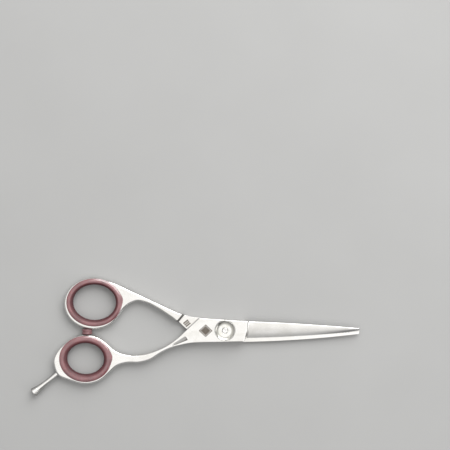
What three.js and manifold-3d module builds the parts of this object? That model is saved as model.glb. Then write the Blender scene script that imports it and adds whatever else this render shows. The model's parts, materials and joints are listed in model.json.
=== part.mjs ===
// Six-inch hairdressing thinning shears, closed and lying on their back, in millimetres.
// Origin: the pivot axis, on the flat back of the pivot bolt. +X runs to the blade tips, +Y to the
// thumb ring and +Z to the tension dial. The finger half carries the plain blade and lies in front;
// the thumb half carries the comb blade and lies behind it.
import * as THREE from "three";
import { mergeVertices } from "three/addons/utils/BufferGeometryUtils.js";
import Module from "manifold-3d";

const wasm = await Module();
wasm.setup();

// ---------- driving dimensions ----------
const HALF_THICKNESS = 2.6; // one half at the pivot
const GAP = 0.08; // running gap between the two halves
const BACK = 0; // back face of the thumb half
const RIDE_BACK = BACK + HALF_THICKNESS; // inner face of the thumb half
const RIDE_FRONT = RIDE_BACK + GAP; // inner face of the finger half
const FRONT = RIDE_FRONT + HALF_THICKNESS; // front face of the finger half
const MIDDLE = (BACK + FRONT) / 2; // plane both rings are centred on

const BLADE_TIP_X = 66.8;
const HEEL_X = 10.6; // where the blades leave the pivot block
const BLADE_HEEL_THICKNESS = 1.9;
const BLADE_TIP_THICKNESS = 1.0;
const EDGE_LAND = 0.14; // thickness left at a cutting edge
const HOLLOW = 0.09; // depth of the hollow grind on the inner faces

const TEETH = 32;
const TOOTH_PITCH = 1.5;
const TOOTH_GAP = 0.62;
const FIRST_GAP_X = 13.6;
const SPINE_BAR = 2.9; // solid comb metal behind the teeth at the heel
const SPINE_BAR_TIP = 1.15;
const TOOTH_NOTCH = 0.3; // depth and half width of the V at each tooth tip

const RING_THICKNESS = 4.0;
const RING_ROUNDING = 0.95;
const INSERT_FLANGE = 0.6; // how far an insert stands proud of its ring
const INSERT_CLEARANCE = 0.14;

const BOLT_HEAD_R = 3.6;
const BOLT_HEAD_H = 0.8;
const BOLT_SHANK_R = 2.0;
const BOLT_FLAT = 1.6; // half the width over the two flats
const BOLT_THREAD_R = 1.4;
const WASHER_R = 4.3;
const RECESS = 0.25;
const DIAL_R = 4.95;
const DIAL_H = 1.55;
const DIAL_DISH = 0.6; // depth of the dish in the dial's front
const DIAL_NOTCHES = 6;
const NOTCH_R = 0.8;
const NOTCH_OFFSET = 0.36; // how far outside the rim each notch is centred
const PLATE_R = 4.4;
const PLATE_T = 0.4;
const CLICKS = 12;
const CLEAR = 0.12; // room round pieces that sit in pockets

// ---------- solids ----------
function solid(geometry) {
  const bare = geometry.index ? geometry.toNonIndexed() : geometry.clone();
  const merged = mergeVertices(
    new THREE.BufferGeometry().setAttribute("position", bare.getAttribute("position")),
    1e-4,
  );
  const triVerts = new Uint32Array(merged.index.array);
  const vertProperties = merged.attributes.position.array;
  const made = new wasm.Manifold(new wasm.Mesh({ numProp: 3, vertProperties, triVerts }));
  if (made.volume() > 0) return made;
  for (let i = 0; i < triVerts.length; i += 3) {
    [triVerts[i + 1], triVerts[i + 2]] = [triVerts[i + 2], triVerts[i + 1]];
  }
  return new wasm.Manifold(new wasm.Mesh({ numProp: 3, vertProperties, triVerts }));
}

function geometryOf(made) {
  const mesh = made.getMesh();
  return new THREE.BufferGeometry()
    .setAttribute("position", new THREE.BufferAttribute(new Float32Array(mesh.vertProperties), 3))
    .setIndex(new THREE.BufferAttribute(new Uint32Array(mesh.triVerts), 1));
}

// A closed skin over matching loops of points, capped at both ends unless it runs round to its start.
function loft(loops, closed = false) {
  const count = loops[0].length;
  const points = loops.flat();
  const faces = [];
  const last = closed ? loops.length : loops.length - 1;
  for (let i = 0; i < last; i++) {
    const j = (i + 1) % loops.length;
    for (let k = 0; k < count; k++) {
      const n = (k + 1) % count;
      faces.push([i * count + k, i * count + n, j * count + n], [i * count + k, j * count + n, j * count + k]);
    }
  }
  if (!closed) {
    for (const [row, flip] of [[0, true], [loops.length - 1, false]]) {
      const middle = new THREE.Vector3();
      loops[row].forEach((p) => middle.addScaledVector(p, 1 / count));
      const hub = points.push(middle) - 1;
      for (let k = 0; k < count; k++) {
        const a = row * count + k;
        const b = row * count + ((k + 1) % count);
        faces.push(flip ? [hub, b, a] : [hub, a, b]);
      }
    }
  }
  return new THREE.BufferGeometry().setFromPoints(points).setIndex(faces.flat());
}

function cylinder(radius, bottom, top, x = 0, y = 0, sides = 40) {
  const made = new THREE.CylinderGeometry(radius, radius, top - bottom, sides);
  return made.rotateX(Math.PI / 2).translate(x, y, (bottom + top) / 2);
}

function lathe(profile, sides = 48) {
  const points = profile.map(([r, z]) => new THREE.Vector2(r, z));
  points.push(points[0].clone());
  return new THREE.LatheGeometry(points, sides).rotateX(Math.PI / 2);
}

// A round bar with two flats, used for the bolt's neck and, a little larger, for the holes it keys into.
function doubleFlat(radius, flat, bottom, top) {
  const round = solid(cylinder(radius, bottom, top));
  const slab = new THREE.BoxGeometry(4 * radius, 2 * flat, top - bottom + 1);
  return round.intersect(solid(slab.translate(0, 0, (bottom + top) / 2)));
}

// A flat shape in the XY plane, made solid from bottom to top.
function prism(shape, bottom, top) {
  const made = new THREE.ExtrudeGeometry(shape, { depth: top - bottom, bevelEnabled: false, curveSegments: 3 });
  return solid(made.translate(0, 0, bottom));
}

const spline = (points) => new THREE.SplineCurve(points.map(([x, y]) => new THREE.Vector2(x, y)));
const mix = THREE.MathUtils.lerp;
const smooth = THREE.MathUtils.smoothstep;

// A bar between two rails. Each section is a rounded oblong from zb to zt, with corner size r.
const CORNER_STEPS = 2;
function railSection(upper, lower, { zb, zt, r }) {
  const across = lower.clone().sub(upper);
  const width = across.length();
  across.divideScalar(width);
  const rw = Math.min(r, width / 2 - 0.05);
  const rz = Math.min(r, (zt - zb) / 2 - 0.05);
  const corners = [[rw, zt - rz, 1], [width - rw, zt - rz, 0], [width - rw, zb + rz, 3], [rw, zb + rz, 2]];
  const loop = [];
  for (const [w, z, quarter] of corners) {
    for (let k = 0; k <= CORNER_STEPS; k++) {
      const a = (Math.PI / 2) * (quarter + 1 - k / CORNER_STEPS);
      const s = w + rw * Math.cos(a);
      loop.push(new THREE.Vector3(upper.x + across.x * s, upper.y + across.y * s, z + rz * Math.sin(a)));
    }
  }
  return loop;
}

// ---------- blades ----------
// Spine and edge of each blade, from tip to heel.
const plainSpine = new THREE.QuadraticBezierCurve(
  new THREE.Vector2(BLADE_TIP_X, 1.0),
  new THREE.Vector2(38.5, 3.45),
  new THREE.Vector2(HEEL_X, 4.5),
);
const plainEdge = new THREE.QuadraticBezierCurve(
  new THREE.Vector2(BLADE_TIP_X, -0.3),
  new THREE.Vector2(42, -3.25),
  new THREE.Vector2(HEEL_X - 1, -3.9),
);
const combSpine = new THREE.QuadraticBezierCurve(
  new THREE.Vector2(BLADE_TIP_X, -1.95),
  new THREE.Vector2(40, -5.35),
  new THREE.Vector2(HEEL_X - 1.4, -5.95),
);
const combEdge = new THREE.QuadraticBezierCurve(
  new THREE.Vector2(BLADE_TIP_X, 0.35),
  new THREE.Vector2(40, 2.7),
  new THREE.Vector2(HEEL_X - 1, 3.6),
);

// A ground blade: hollow inner face at z = ride, outer face curving from the spine down to the edge.
// out is +1 when the outer face is in front of the ride and -1 when it is behind.
const BLADE_STATIONS = 8;
const OUTER_STEPS = [1, 0.8, 0.5, 0.2, 0.06, 0];
const INNER_STEPS = [0, 0.5, 1];
function bladeLoft(spineCurve, edgeCurve, ride, out) {
  const loops = [];
  for (let i = 0; i <= BLADE_STATIONS; i++) {
    const t = i / BLADE_STATIONS;
    const spine = spineCurve.getPoint(t);
    const edge = edgeCurve.getPoint(t);
    const thickness = mix(BLADE_TIP_THICKNESS, BLADE_HEEL_THICKNESS, t);
    const at = (v, z) => new THREE.Vector3(mix(spine.x, edge.x, v), mix(spine.y, edge.y, v), z);
    const inner = INNER_STEPS.map((v) => at(v, ride + out * HOLLOW * Math.sin(Math.PI * v)));
    const outer = OUTER_STEPS.map((v) => {
      const rise = EDGE_LAND + (thickness - EDGE_LAND) * (1 - v ** 2.2);
      return at(v, ride + out * (v === 0 ? rise - 0.2 : rise));
    });
    loops.push([...inner, ...outer]);
  }
  return solid(loft(loops));
}

// The gaps between the teeth and the V at each tooth tip, cut through the comb blade.
function combCuts() {
  const cuts = [];
  const low = BACK - 1;
  const high = RIDE_BACK + 1;
  for (let i = 0; i <= TEETH; i++) {
    const x = FIRST_GAP_X + i * TOOTH_PITCH;
    const t = (BLADE_TIP_X - x) / (BLADE_TIP_X - HEEL_X);
    const root = combSpine.getPoint(t).y + mix(SPINE_BAR_TIP, SPINE_BAR, t);
    const half = TOOTH_GAP / 2;
    const gap = new THREE.Shape();
    gap.moveTo(x + half, 6);
    gap.lineTo(x - half, 6);
    gap.lineTo(x - half, root + half);
    gap.absarc(x, root + half, half, Math.PI, 2 * Math.PI, false);
    gap.closePath();
    cuts.push(prism(gap, low, high));
    if (i === TEETH) continue;
    const middle = x + TOOTH_PITCH / 2;
    const tip = combEdge.getPoint((BLADE_TIP_X - middle) / (BLADE_TIP_X - HEEL_X)).y;
    const notch = new THREE.Shape();
    notch.moveTo(middle, tip - TOOTH_NOTCH);
    notch.lineTo(middle + 2 * TOOTH_NOTCH, tip + TOOTH_NOTCH);
    notch.lineTo(middle - 2 * TOOTH_NOTCH, tip + TOOTH_NOTCH);
    notch.closePath();
    cuts.push(prism(notch, low, high));
  }
  return wasm.Manifold.union(cuts);
}

// ---------- pivot blocks and shanks ----------
// Pairs of points on the two edges of each half, from the blade heel over the pivot block to the ring.
const fingerUpper = [[10.6, 4.5], [-12.6, 6.1], [-18.8, 0.5], [-23.4, -3.8], [-28.7, -7.3], [-33.6, -9.5], [-37.5, -11], [-43, -12.3], [-49, -12.2], [-54.4, -10.6]];
const fingerLower = [[9.5, -5.5], [-14, -6], [-17.6, -6.3], [-21.2, -7], [-27.2, -8.9], [-32.4, -11.8], [-36.6, -14.6], [-42.5, -16.4], [-48.5, -16.2], [-53.2, -17.1]];
const thumbUpper = [[10.6, 4.5], [-12.6, 6.1], [-17, 6.5], [-20.4, 7.6], [-27.1, 10.55], [-33, 13.3], [-38, 15.65], [-42.4, 17.7], [-49, 20.6], [-54.6, 22.95]];
const thumbLower = [[9.5, -5.5], [-12.6, -5.9], [-17.5, -1], [-23.4, 4.05], [-28.5, 7.6], [-34, 11.1], [-39.2, 13.55], [-43.9, 14.45], [-48, 12.4], [-51, 9.7]];
const SHOULDER_PAIR = 3; // the pair where a shank steps up to full thickness
const SHANK_STEPS = 3; // sections per pair

const RING_BACK = MIDDLE - RING_THICKNESS / 2;
const RING_FRONT = MIDDLE + RING_THICKNESS / 2;

// The edge is straight along the block, from the first point to the second, and a smooth curve beyond it.
function rail(points) {
  const curve = spline(points.slice(1));
  const [heel, corner] = points;
  return (pair) => {
    if (pair < 1) return new THREE.Vector2(mix(heel[0], corner[0], pair), mix(heel[1], corner[1], pair));
    return curve.getPoint((pair - 1) / (points.length - 2));
  };
}

// The block keeps to its own side of the ride plane. Past the shoulder the shank has the full thickness
// of the closed shears.
function shank(upperPoints, lowerPoints, outer, ride) {
  const upper = rail(upperPoints);
  const lower = rail(lowerPoints);
  const last = upperPoints.length - 1;
  const forward = Math.sign(outer - ride);
  const ringOuter = MIDDLE + forward * (RING_THICKNESS / 2 - 0.06);
  const ringFar = MIDDLE - forward * (RING_THICKNESS / 2 - 0.06);
  const farAtShoulder = MIDDLE - (outer - MIDDLE) * 0.85;
  const section = (pair, far) => {
    const along = smooth(pair, SHOULDER_PAIR, last - 1);
    const near = mix(outer, ringOuter, along);
    const r = mix(0.3, 1.05, smooth(pair, 2, SHOULDER_PAIR + 1));
    return railSection(upper(pair), lower(pair), { zb: Math.min(near, far), zt: Math.max(near, far), r });
  };
  const sections = [section(0, ride)];
  for (let i = SHANK_STEPS; i <= last * SHANK_STEPS; i++) {
    const pair = i / SHANK_STEPS;
    const full = mix(farAtShoulder, ringFar, smooth(pair, SHOULDER_PAIR, last - 1));
    sections.push(section(pair, pair <= SHOULDER_PAIR ? ride : full));
    if (pair === SHOULDER_PAIR) sections.push(section(pair + 0.02, full));
  }
  return solid(loft(sections));
}

// ---------- rings ----------
const fingerHole = { x: -69.3, y: -14.2, a: 11.3, b: 9.8 };
const thumbHole = { x: -64.9, y: 13.8, a: 12.2, b: 10.3 };
const fingerRim = { x: -69.2, y: -14.5, a: 13.9, b: 12.3 };
const thumbRim = { x: -65.4, y: 13.3, a: 14.6, b: 12.85 };
const radians = THREE.MathUtils.degToRad;

// A ring is a closed band between its hole and an outline of points that run anticlockwise round it.
const RING_STEPS = 2; // sections per outline point
function ringBand(hole, outline) {
  const curve = new THREE.CatmullRomCurve3(outline.map(([x, y]) => new THREE.Vector3(x, y, 0)), true, "centripetal");
  const range = { zb: RING_BACK, zt: RING_FRONT, r: RING_ROUNDING };
  const sections = [];
  const count = outline.length * RING_STEPS;
  for (let i = 0; i < count; i++) {
    const outer = curve.getPoint(i / count);
    const angle = Math.atan2((outer.y - hole.y) / hole.b, (outer.x - hole.x) / hole.a);
    const inner = new THREE.Vector2(hole.x + hole.a * Math.cos(angle), hole.y + hole.b * Math.sin(angle));
    sections.push(railSection(inner, new THREE.Vector2(outer.x, outer.y), range));
  }
  return solid(loft(sections, true));
}

// Points of an ellipse from one angle to another, both in degrees.
function arc({ x, y, a, b }, from, to, steps) {
  return Array.from({ length: steps + 1 }, (_, i) => {
    const angle = radians(mix(from, to, i / steps));
    return [x + a * Math.cos(angle), y + b * Math.sin(angle)];
  });
}

// Finger ring: a filleted web on the shank side, and a boss on the far side for the finger rest.
const fingerOutline = [[-52.6, -14.2], [-53.6, -11.9], [-56.2, -9.2], ...arc(fingerRim, 48, 140, 7), [-83.3, -10.4],
  [-85.3, -15.2], [-83.7, -20], [-80.3, -23.3], ...arc(fingerRim, 246, 314, 5), [-56.6, -20.4], [-53.8, -17.8]];
const thumbOutline = [[-51.1, 16.4], [-53.1, 21.9], [-55.8, 23.4], ...arc(thumbRim, 60, 330, 16), [-52, 8.4], [-50.8, 10.4]];

// A soft grommet that grips the rim of a ring hole, with a flange on each face.
const INSERT_STEPS = 32;
function ringInsert(hole, wall, lip) {
  const seat = INSERT_CLEARANCE;
  const front = RING_THICKNESS / 2;
  const proud = front + INSERT_FLANGE;
  // Each pair is the distance outwards from the hole's own edge, and the height from the middle plane.
  const half = [[-seat, front + seat], [lip - 0.25, front + seat], [lip, front + seat + 0.2], [lip - 0.55, proud - 0.12],
    [lip - 1.4, proud], [-wall * 0.55, proud - 0.2], [-wall * 0.9, front], [-wall, front * 0.5]];
  const profile = [...half, ...half.toReversed().map(([r, z]) => [r, -z])].reverse();
  const loops = [];
  for (let i = 0; i < INSERT_STEPS; i++) {
    const angle = (2 * Math.PI * i) / INSERT_STEPS;
    const normal = new THREE.Vector2(Math.cos(angle) / hole.a, Math.sin(angle) / hole.b).normalize();
    const x = hole.x + hole.a * Math.cos(angle);
    const y = hole.y + hole.b * Math.sin(angle);
    loops.push(profile.map(([r, z]) => new THREE.Vector3(x + normal.x * r, y + normal.y * r, MIDDLE + z)));
  }
  return loft(loops, true);
}

// ---------- finger rest and bumper ----------
const REST_ROOT = new THREE.Vector3(-83.35, -21.65, MIDDLE);
const REST_DIRECTION = new THREE.Vector3(-0.783, -0.622, 0).normalize();
const REST_LENGTH = 15.3;
const REST_STUB_R = 0.9;
const REST_STUB = 3.3;
const REST_HOLE_R = 1.0;

// Turns a shape made round +Y so that +Y points along direction, and moves its origin to at.
function aim(geometry, direction, at) {
  const turn = new THREE.Quaternion().setFromUnitVectors(new THREE.Vector3(0, 1, 0), direction);
  return geometry.applyQuaternion(turn).translate(at.x, at.y, at.z);
}

function fingerRest() {
  const outline = [[0, -REST_STUB], [REST_STUB_R, -REST_STUB], [REST_STUB_R, 0], [1.3, 0.1], [1.28, 1.5], [1.15, 6],
    [1.3, 9], [1.75, 12.3], [2.25, REST_LENGTH - 0.6], [2.1, REST_LENGTH], [0, REST_LENGTH]];
  const points = outline.map(([r, y]) => new THREE.Vector2(r, y));
  return aim(new THREE.LatheGeometry(points, 28), REST_DIRECTION, REST_ROOT);
}

function restHole() {
  const depth = REST_STUB + 0.3;
  const made = new THREE.CylinderGeometry(REST_HOLE_R, REST_HOLE_R, depth + 2, 24).translate(0, 1 - depth / 2, 0);
  return solid(aim(made, REST_DIRECTION, REST_ROOT));
}

const BUMPER_X = -68.6;
const BUMPER_R = 2.6;
const BUMPER_TOP = 0.45; // against the thumb ring
const BUMPER_FACE = -2.12; // towards the finger ring
const BUMPER_STEM_R = 0.85;
const BUMPER_STEM = 1.7;
const BUMPER_HOLE_R = 1.05;

function bumper() {
  const outline = [[0, 0], [BUMPER_STEM_R, 0], [BUMPER_STEM_R, BUMPER_STEM], [BUMPER_R - 0.25, BUMPER_STEM],
    [BUMPER_R, BUMPER_STEM + 0.3], [BUMPER_R, BUMPER_STEM + 2.4],
    [BUMPER_R - 0.45, BUMPER_STEM + BUMPER_TOP - BUMPER_FACE], [0, BUMPER_STEM + BUMPER_TOP - BUMPER_FACE]];
  const points = outline.map(([r, y]) => new THREE.Vector2(r, y));
  const start = new THREE.Vector3(BUMPER_X, BUMPER_TOP + BUMPER_STEM, MIDDLE);
  return aim(new THREE.LatheGeometry(points, 28), new THREE.Vector3(0, -1, 0), start);
}

function bumperHole() {
  const depth = BUMPER_STEM + 0.25;
  const made = new THREE.CylinderGeometry(BUMPER_HOLE_R, BUMPER_HOLE_R, depth + 1, 24);
  return solid(made.translate(BUMPER_X, BUMPER_TOP + (depth - 1) / 2, MIDDLE));
}

// ---------- pivot ----------
const HEAD_TOP = BACK + BOLT_HEAD_H;
const POCKET_FLOOR = FRONT - 0.85; // floor of the pocket in the finger half that holds the click plate
const PLATE_BACK = POCKET_FLOOR + 0.06;
const PLATE_FRONT = PLATE_BACK + PLATE_T;
const DIAL_BACK = FRONT + 0.1;
const DIAL_FRONT = DIAL_BACK + DIAL_H;
const BUSHING_R = 2.75;
const BUSHING_BORE_R = BOLT_SHANK_R + 0.08;
const SPRING_OUTER_R = 3.9;
const SPRING_INNER_R = 2.4;

function pivotBolt() {
  const head = lathe([[0, BACK], [BOLT_HEAD_R - 0.15, BACK], [BOLT_HEAD_R, BACK + 0.15], [BOLT_HEAD_R, HEAD_TOP], [0, HEAD_TOP]]);
  const shank = cylinder(BOLT_SHANK_R, HEAD_TOP - 0.2, RIDE_FRONT);
  const neck = doubleFlat(BOLT_SHANK_R, BOLT_FLAT, RIDE_FRONT - 0.2, PLATE_FRONT);
  const thread = cylinder(BOLT_THREAD_R, PLATE_FRONT - 0.2, DIAL_FRONT - DIAL_DISH + 0.25, 0, 0, 32);
  return solid(head).add(solid(shank)).add(neck).add(solid(thread));
}

function pivotBushing() {
  const top = RIDE_BACK - RECESS - 0.06;
  return lathe([[BUSHING_BORE_R, HEAD_TOP + 0.12], [BUSHING_R, HEAD_TOP + 0.12], [BUSHING_R, top], [BUSHING_BORE_R, top]]);
}

function bladeWasher() {
  const low = RIDE_BACK - RECESS + 0.06;
  const high = RIDE_FRONT + RECESS - 0.06;
  return lathe([[BUSHING_BORE_R, low], [WASHER_R, low], [WASHER_R, high], [BUSHING_BORE_R, high]]);
}

// A hardened ring keyed to the bolt's flats, with a hole for each click of the dial.
function clickPlate() {
  const disc = solid(cylinder(PLATE_R, PLATE_BACK, PLATE_FRONT, 0, 0, 48));
  const holes = [doubleFlat(BOLT_SHANK_R + CLEAR, BOLT_FLAT + CLEAR, PLATE_BACK - 1, PLATE_FRONT + 1)];
  for (let i = 0; i < CLICKS; i++) {
    const angle = (2 * Math.PI * i) / CLICKS;
    holes.push(solid(cylinder(0.38, PLATE_BACK - 1, PLATE_FRONT + 1, 3.3 * Math.cos(angle), 3.3 * Math.sin(angle), 8)));
  }
  return disc.subtract(wasm.Manifold.union(holes));
}

// A wave spring, keyed to the dial, whose troughs drop into the holes of the click plate.
const WAVES = 3;
function dialSpring() {
  const low = PLATE_FRONT + 0.08;
  const high = DIAL_BACK + 0.42;
  const strip = 0.22;
  const swing = (high - low - strip) / 2;
  const loops = [];
  for (let i = 0; i < 48; i++) {
    const angle = (2 * Math.PI * i) / 48;
    const z = low + swing * (1 + Math.cos(WAVES * angle));
    const corners = [[SPRING_INNER_R, z + strip], [SPRING_OUTER_R, z + strip], [SPRING_OUTER_R, z], [SPRING_INNER_R, z]];
    loops.push(corners.map(([r, h]) => new THREE.Vector3(r * Math.cos(angle), r * Math.sin(angle), h)));
  }
  return loft(loops, true);
}

// The dial is a dished nut with a hollow back for the spring and finger notches round its rim.
function tensionDial() {
  const hollowTop = DIAL_BACK + 0.5;
  const bore = BOLT_THREAD_R + 0.1;
  const body = lathe([[bore, hollowTop], [SPRING_OUTER_R + 0.2, hollowTop], [SPRING_OUTER_R + 0.2, DIAL_BACK],
    [DIAL_R - 0.2, DIAL_BACK], [DIAL_R, DIAL_BACK + 0.25], [DIAL_R - 0.08, DIAL_FRONT - 0.4], [DIAL_R - 0.3, DIAL_FRONT],
    [DIAL_R - 0.6, DIAL_FRONT], [4.0, DIAL_FRONT - 0.25], [3.1, DIAL_FRONT - DIAL_DISH + 0.08], [2.2, DIAL_FRONT - DIAL_DISH],
    [bore, DIAL_FRONT - DIAL_DISH]]);
  const notches = [];
  for (let i = 0; i < DIAL_NOTCHES; i++) {
    const angle = radians(35) + (2 * Math.PI * i) / DIAL_NOTCHES;
    const reach = DIAL_R + NOTCH_OFFSET;
    const x = reach * Math.cos(angle);
    const y = reach * Math.sin(angle);
    notches.push(solid(cylinder(NOTCH_R, DIAL_BACK + 0.3, DIAL_FRONT + 1, x, y, 20)));
  }
  return solid(body).subtract(wasm.Manifold.union(notches));
}

// ---------- the two halves ----------
function fingerHalf() {
  const made = bladeLoft(plainSpine, plainEdge, RIDE_FRONT, 1)
    .add(shank(fingerUpper, fingerLower, FRONT, RIDE_FRONT))
    .add(ringBand(fingerHole, fingerOutline));
  const through = doubleFlat(BOLT_SHANK_R + CLEAR, BOLT_FLAT + CLEAR, RIDE_FRONT - 1, FRONT + 1);
  const pocket = solid(cylinder(PLATE_R + CLEAR, POCKET_FLOOR, FRONT + 1, 0, 0, 48));
  const recess = solid(cylinder(WASHER_R + CLEAR, RIDE_FRONT - 1, RIDE_FRONT + RECESS));
  return made.subtract(wasm.Manifold.union([through, pocket, recess, restHole()]));
}

function thumbHalf() {
  const made = bladeLoft(combSpine, combEdge, RIDE_BACK, -1)
    .subtract(combCuts())
    .add(shank(thumbUpper, thumbLower, BACK, RIDE_BACK))
    .add(ringBand(thumbHole, thumbOutline));
  const bore = solid(cylinder(BUSHING_R + 0.06, BACK - 1, RIDE_BACK + 1));
  const counterbore = solid(cylinder(BOLT_HEAD_R + CLEAR, BACK - 1, HEAD_TOP + 0.08));
  const recess = solid(cylinder(WASHER_R + CLEAR, RIDE_BACK - RECESS, RIDE_BACK + 1));
  return made.subtract(wasm.Manifold.union([bore, counterbore, recess, bumperHole()]));
}

// ---------- assembly ----------
const steel = () => new THREE.MeshStandardMaterial({ color: 0xdcdcda, roughness: 0.12, metalness: 1 });
const darkSteel = () => new THREE.MeshStandardMaterial({ color: 0xa8a6a0, roughness: 0.3, metalness: 1 });
const bronze = () => new THREE.MeshStandardMaterial({ color: 0xb08a52, roughness: 0.35, metalness: 1 });
const nylon = () => new THREE.MeshStandardMaterial({ color: 0xe8e6df, roughness: 0.5, metalness: 0 });
const rubber = () => new THREE.MeshStandardMaterial({ color: 0x8c4a50, roughness: 0.4, metalness: 0 });

const shears = new THREE.Group();

function place(name, made, material) {
  const geometry = made.isBufferGeometry ? made : geometryOf(made);
  geometry.computeVertexNormals();
  const mesh = new THREE.Mesh(geometry, material);
  mesh.name = name;
  shears.add(mesh);
}

place("finger_half_plain_blade", fingerHalf(), steel());
place("thumb_half_comb_blade", thumbHalf(), steel());
place("pivot_bolt", pivotBolt(), darkSteel());
place("pivot_bushing", pivotBushing(), bronze());
place("blade_washer", bladeWasher(), nylon());
place("click_plate", clickPlate(), darkSteel());
place("dial_wave_spring", dialSpring(), darkSteel());
place("tension_dial", tensionDial(), steel());
place("finger_rest", fingerRest(), steel());
place("finger_ring_insert", ringInsert(fingerHole, 2.1, 1.65), rubber());
place("thumb_ring_insert", ringInsert(thumbHole, 1.5, 1.6), rubber());
place("ring_bumper", bumper(), rubber());

export default shears;
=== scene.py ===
import json
import math

import bmesh
import bpy
import numpy as np
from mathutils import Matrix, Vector, geometry, kdtree


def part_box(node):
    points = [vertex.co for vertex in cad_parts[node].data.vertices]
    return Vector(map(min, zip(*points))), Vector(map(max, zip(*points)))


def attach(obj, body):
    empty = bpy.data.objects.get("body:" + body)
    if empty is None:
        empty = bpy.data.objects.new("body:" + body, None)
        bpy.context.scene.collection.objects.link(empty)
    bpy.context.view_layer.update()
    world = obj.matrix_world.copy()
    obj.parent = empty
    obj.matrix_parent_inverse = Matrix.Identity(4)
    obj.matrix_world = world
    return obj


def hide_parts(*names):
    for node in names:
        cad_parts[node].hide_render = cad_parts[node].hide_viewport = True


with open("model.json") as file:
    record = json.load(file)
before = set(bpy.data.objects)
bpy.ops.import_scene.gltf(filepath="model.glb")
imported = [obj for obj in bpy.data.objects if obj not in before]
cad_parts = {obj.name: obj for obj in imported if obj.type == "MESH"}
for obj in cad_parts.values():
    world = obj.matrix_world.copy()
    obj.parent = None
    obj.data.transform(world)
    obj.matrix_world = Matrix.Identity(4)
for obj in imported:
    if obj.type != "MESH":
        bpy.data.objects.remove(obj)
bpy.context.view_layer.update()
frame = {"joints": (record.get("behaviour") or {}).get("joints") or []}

# Lengths are in millimetres, in the row frame: the pivot is the origin, +X runs to the tips, +Y to the
# thumb ring and +Z to the dial. Meshes are scaled to metres when they are made.
MM = 0.001


def box(node):
    """The low and high corners of a CAD node, in millimetres."""
    low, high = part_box(node)
    return np.array(low) / MM, np.array(high) / MM


# ---------- sizes read from the frame ----------
FRONT = box("finger_half_plain_blade")[1][2]  # front face of the finger half
BACK = box("thumb_half_comb_blade")[0][2]  # back face of the thumb half
RECESS = 0.25  # depth of the washer's recess in each half
SEAT = 0.06  # room between the washer and the floor of its recess
RIDE = box("blade_washer")[1][2] + SEAT - RECESS  # height at which the front half starts
THICK = FRONT - RIDE  # one half at the pivot
FULL = FRONT - BACK
TIP_X = box("finger_half_plain_blade")[1][0]


# ---------- lines in the plane ----------
def curve(points, step=0.2):
    """Smooth line through the points, at even steps."""
    p = np.asarray(points, float)
    h = np.hypot(*np.diff(p, axis=0).T)
    t = np.r_[0, np.cumsum(h)]
    d = np.diff(p, axis=0) / h[:, None]
    m = np.empty_like(p)
    m[1:-1] = (d[:-1] * h[1:, None] + d[1:] * h[:-1, None]) / (h[:-1] + h[1:])[:, None]
    m[0], m[-1] = d[0], d[-1]
    u = np.linspace(0, t[-1], max(3, int(t[-1] / 0.05)))
    i = np.clip(np.searchsorted(t, u, "right") - 1, 0, len(h) - 1)
    s = ((u - t[i]) / h[i])[:, None]
    k = h[i][:, None]
    line = (
        (2 * s**3 - 3 * s**2 + 1) * p[i]
        + (s**3 - 2 * s**2 + s) * k * m[i]
        + (3 * s**2 - 2 * s**3) * p[i + 1]
        + (s**3 - s**2) * k * m[i + 1]
    )
    return resample(line, step)


def resample(line, step):
    """The same line with its points at even steps."""
    s = np.r_[0, np.cumsum(np.hypot(*np.diff(line, axis=0).T))]
    t = np.linspace(0, s[-1], max(2, int(round(s[-1] / step)) + 1))
    return np.c_[np.interp(t, s, line[:, 0]), np.interp(t, s, line[:, 1])]


def dense(line, step):
    """Adds points along long straight stretches and keeps every corner."""
    out = []
    for a, b in zip(line[:-1], line[1:]):
        n = max(1, math.ceil(math.hypot(*(b - a)) / step))
        out += [a + (b - a) * k / n for k in range(n)]
    return np.array([*out, line[-1]])


def soften(line, sigma, step=0.2):
    """Rounds a line off along its length and keeps its two ends."""
    r = int(3 * sigma / step)
    k = np.exp(-0.5 * (np.arange(-r, r + 1) * step / sigma) ** 2)
    k /= k.sum()
    a = np.vstack([2 * line[0] - line[r:0:-1], line, 2 * line[-1] - line[-2 : -r - 2 : -1]])
    return resample(np.c_[np.convolve(a[:, 0], k, "valid"), np.convolve(a[:, 1], k, "valid")], step)


def arc(cx, cy, a, b, start, end, steps):
    """Points of an ellipse between two angles in degrees."""
    t = np.radians(np.linspace(start, end, steps + 1))
    return [(cx + a * math.cos(q), cy + b * math.sin(q)) for q in t]


def smoothstep(x, lo, hi):
    """A smooth ramp from 0, where x is lo, to 1, where it is hi."""
    t = np.clip((x - lo) / (hi - lo), 0, 1)
    return t * t * (3 - 2 * t)


# ---------- a forged half as two faces over one outline ----------
SQUARE = 0.005  # an edge rounded by no more than this is left square


class Edge:
    """One closed line of the outline, with the rounding of its outer and inner edges at each point."""

    def __init__(self, points, outer, inner):
        self.p = np.asarray(points, float)
        self.r = [np.broadcast_to(np.asarray(r, float), len(self.p)) for r in (outer, inner)]
        before, after = self.p - np.roll(self.p, 1, 0), np.roll(self.p, -1, 0) - self.p
        before /= np.hypot(*before.T)[:, None]
        after /= np.hypot(*after.T)[:, None]
        turn = np.degrees(np.arccos(np.clip((before * after).sum(1), -1, 1)))
        along = before + after
        along /= np.maximum(np.hypot(*along.T), 1e-9)[:, None]
        self.n = np.c_[-along[:, 1], along[:, 0]]  # into the material
        self.reach = 1 / np.maximum(np.cos(np.radians(turn / 2)), 0.4)
        self.sharp = turn > 25


def point_tree(points):
    """A search tree over points in the plane."""
    tree = kdtree.KDTree(max(1, len(points)))
    for i, q in enumerate(points):
        tree.insert((q[0], q[1], 0), i)
    tree.balance()
    return tree


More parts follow.
